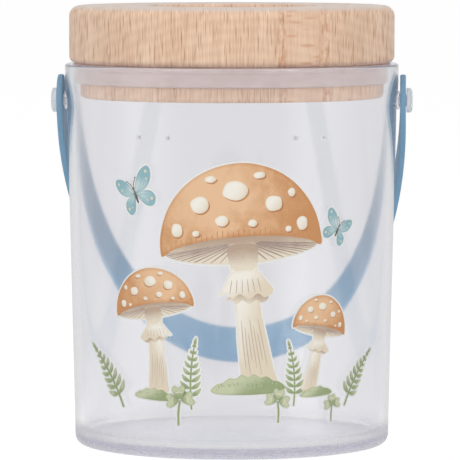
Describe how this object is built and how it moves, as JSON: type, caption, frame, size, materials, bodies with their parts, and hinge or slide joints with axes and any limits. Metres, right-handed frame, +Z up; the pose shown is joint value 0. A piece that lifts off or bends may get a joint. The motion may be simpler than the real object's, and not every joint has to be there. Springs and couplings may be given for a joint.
{
  "type": "bug catcher jar",
  "caption": "Clear jar with a wooden plug lid that has a magnifier, air holes and a ring seal, and a strap handle that swings on side studs.",
  "frame": {"origin": "centre of the foot ring, on the plane that the jar stands on", "axes": "+Z up along the jar's axis, +X along the handle's pivot axis to the right, -Y towards the front, with the handle resting at the back"},
  "size_m": [0.1236, 0.1272, 0.15],
  "materials": {
    "clear_plastic": "clear, polished",
    "cap_plastic": "clear, slightly cloudy",
    "strap": "matte",
    "wood": "beech, fine sanded",
    "seal": "translucent silicone",
    "lens": "clear, polished"
  },
  "bodies": {
    "jar": {"jar_body": "clear_plastic", "pivot_cap_left": "cap_plastic", "pivot_cap_right": "cap_plastic"},
    "handle": {"handle_strap": "strap"},
    "lid": {"lid_block": "wood", "lid_seal": "seal", "magnifier_lens": "lens", "lens_ring": "wood"}
  },
  "joints": [
    {"name": "handle_swing", "type": "hinge", "parent": "jar", "child": "handle", "pos_m": [0, 0, 0.1176], "axis": [1, 0, 0], "range_deg": [0, 290.6]},
    {"name": "lid_lift", "type": "slide", "parent": "jar", "child": "lid", "axis": [0, 0, 1], "range_m": [0, 0.04]}
  ]
}
